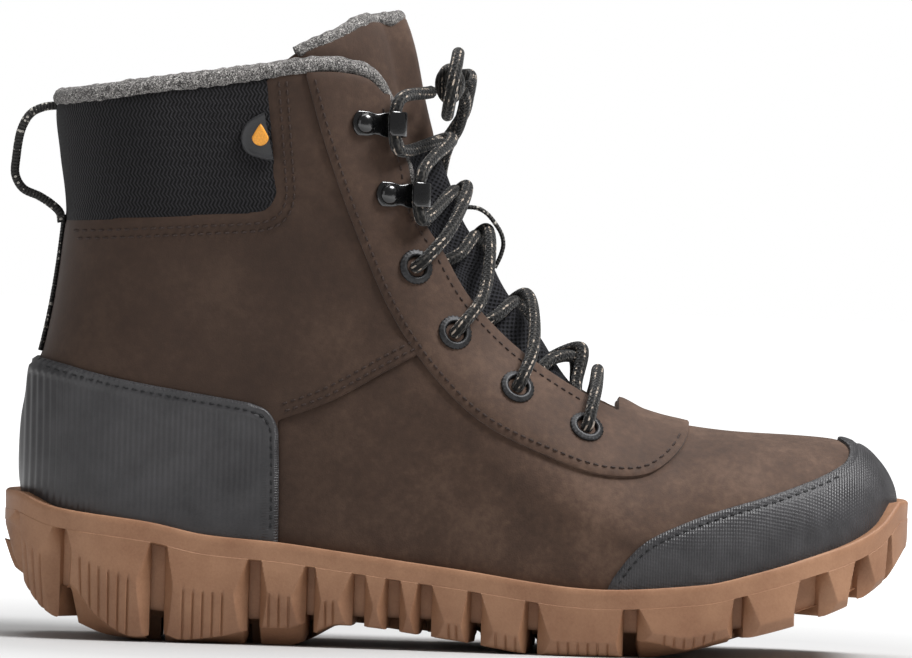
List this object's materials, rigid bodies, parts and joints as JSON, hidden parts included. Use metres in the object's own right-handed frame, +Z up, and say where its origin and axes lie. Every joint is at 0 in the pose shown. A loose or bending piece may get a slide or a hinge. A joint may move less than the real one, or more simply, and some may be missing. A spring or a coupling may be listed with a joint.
{
  "type": "insulated hunting boot",
  "caption": "Ankle-high insulated lace-up boot with a lugged gum sole, rubber toe and heel guards, padded collar, soft tongue and laces tied in a bow.",
  "frame": {"origin": "on the ground under the middle of the boot, without the bow, lace ends and tips", "axes": "+X to the toe, +Y to the inner side of the foot, +Z up"},
  "size_m": [0.3158, 0.1116, 0.22],
  "materials": {
    "leather": "matt nubuck, dark brown",
    "trim_rubber": "matt moulded rubber, dark grey",
    "gum_rubber": "satin gum rubber, tan",
    "foam": "matt open foam and wadding",
    "felt": "brushed heather grey felt",
    "knit": "black woven textile",
    "webbing": "woven webbing, black with pale flecks",
    "lace": "round braided lace, dark with tan flecks",
    "gunmetal": "satin dark nickel",
    "black_metal": "gloss black",
    "steel": "plain spring steel",
    "board": "matt fibreboard",
    "plastic_tip": "gloss clear-coated tip"
  },
  "bodies": {
    "boot": {"vamp": "leather", "quarter_lateral": "leather", "quarter_medial": "leather", "eyestay": "leather", "heel_cover": "trim_rubber", "toe_cap": "trim_rubber", "outsole": "gum_rubber", "midsole": "foam", "insulation": "foam", "tongue_foam_lower": "foam", "felt_lining": "felt", "collar_binding": "felt", "tongue_lining_lower": "felt", "collar_panel": "knit", "tongue_skin_lower": "knit", "heel_strip": "webbing", "lace_keeper": "webbing", "lace": "lace", "lace_knot": "lace", "bow_loop_lateral": "lace", "bow_loop_medial": "lace", "lace_tail_1": "lace", "lace_tail_2": "lace", "eyelet_lateral_1": "gunmetal", "eyelet_lateral_2": "gunmetal", "eyelet_lateral_3": "gunmetal", "eyelet_lateral_4": "gunmetal", "eyelet_medial_1": "gunmetal", "eyelet_medial_2": "gunmetal", "eyelet_medial_3": "gunmetal", "eyelet_medial_4": "gunmetal", "hook_lateral_1": "black_metal", "hook_lateral_2": "black_metal", "hook_medial_1": "black_metal", "hook_medial_2": "black_metal", "hook_rivet_lateral_1": "black_metal", "hook_rivet_lateral_2": "black_metal", "hook_rivet_medial_1": "black_metal", "hook_rivet_medial_2": "black_metal", "shank": "steel", "insole_board": "board", "heel_stiffener": "board", "toe_puff": "board", "aglet_1": "plastic_tip", "aglet_2": "plastic_tip"},
    "pull_loop": {"pull_loop": "webbing"},
    "tongue_top": {"tongue_skin_top": "leather", "tongue_foam_top": "foam", "tongue_lining_top": "felt"},
    "footbed": {"footbed": "foam"},
    "side_tag": {"side_tag": "trim_rubber"}
  },
  "joints": [
    {"name": "pull_loop_swing", "type": "hinge", "parent": "boot", "child": "pull_loop", "pos_m": [-0.1467, -0.00118, 0.1833], "axis": [-0.1365, 0, 0.9906], "range_deg": [-30, 30], "stiffness_Nm_per_rad": 0.02},
    {"name": "tongue_top_fold", "type": "hinge", "parent": "boot", "child": "tongue_top", "pos_m": [-0.0204, -0.00118, 0.176], "axis": [0, -1, 0], "range_deg": [0, 10], "stiffness_Nm_per_rad": 0.5},
    {"name": "footbed_lift", "type": "hinge", "parent": "boot", "child": "footbed", "pos_m": [0.1376, -0.00118, 0.05], "axis": [0, 1, 0], "range_deg": [0, 3]},
    {"name": "side_tag_flap", "type": "hinge", "parent": "boot", "child": "side_tag", "pos_m": [-0.0663, -0.04578, 0.177], "axis": [0, 0, 1], "range_deg": [0, 60], "stiffness_Nm_per_rad": 0.004}
  ]
}
